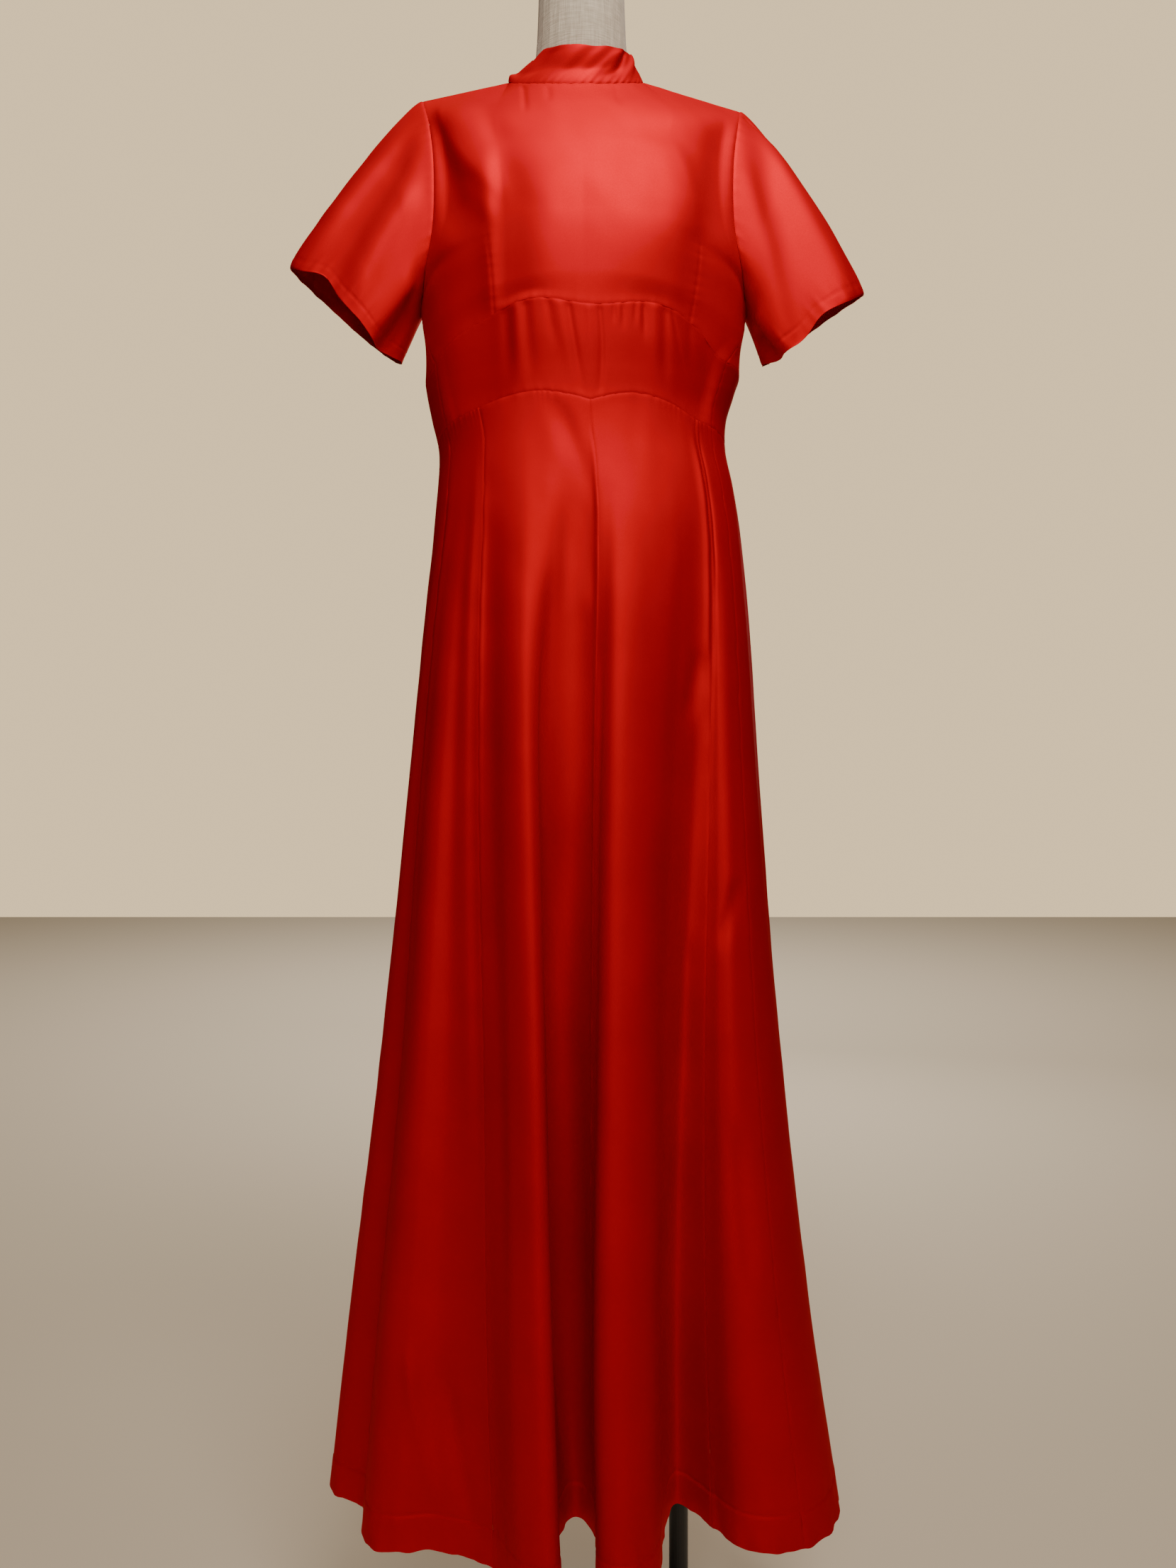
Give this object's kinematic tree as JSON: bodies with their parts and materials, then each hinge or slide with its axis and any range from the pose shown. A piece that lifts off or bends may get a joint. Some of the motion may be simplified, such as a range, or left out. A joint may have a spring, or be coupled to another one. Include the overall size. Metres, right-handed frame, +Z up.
{
  "type": "floor-length satin dress with a stand collar on a linen dress form with a neck, off-centre pole and round base",
  "caption": "Fitted floor-length dress with a soft stand collar, short sleeves, shaped waist band and flared gored skirt, worn by a torso form on a pole and round base.",
  "frame": {"origin": "centre of the base plate's flat underside, on the floor", "axes": "+Z up, the dress faces -Y, +X is the viewer's right"},
  "size_m": [0.6511, 0.4223, 1.985],
  "materials": {
    "red_satin": "satin weave with a soft sheen",
    "form_linen": "plain woven linen",
    "black_paint": "satin black powder coat",
    "red_painted_metal": "red lacquer"
  },
  "bodies": {
    "dress_on_form": {"bodice_front": "red_satin", "bodice_back_left": "red_satin", "bodice_back_right": "red_satin", "collar": "red_satin", "sleeve_left": "red_satin", "sleeve_right": "red_satin", "midriff_front": "red_satin", "midriff_back_left": "red_satin", "midriff_back_right": "red_satin", "skirt_front_side_left": "red_satin", "skirt_front_centre_left": "red_satin", "skirt_front_centre_right": "red_satin", "skirt_front_side_right": "red_satin", "skirt_back_side_right": "red_satin", "skirt_back_centre_right": "red_satin", "skirt_back_centre_left": "red_satin", "skirt_back_side_left": "red_satin", "zip_slider": "red_painted_metal", "form_torso": "form_linen", "form_flange": "black_paint", "form_pole": "black_paint", "form_base": "black_paint"},
    "zip_pull": {"zip_tab": "red_painted_metal"}
  },
  "joints": [
    {"name": "zip_tab_hinge", "type": "hinge", "parent": "dress_on_form", "child": "zip_pull", "pos_m": [-0.00253, 0.06884, 1.84628], "axis": [1, 0, 0], "range_deg": [0, 150]}
  ]
}
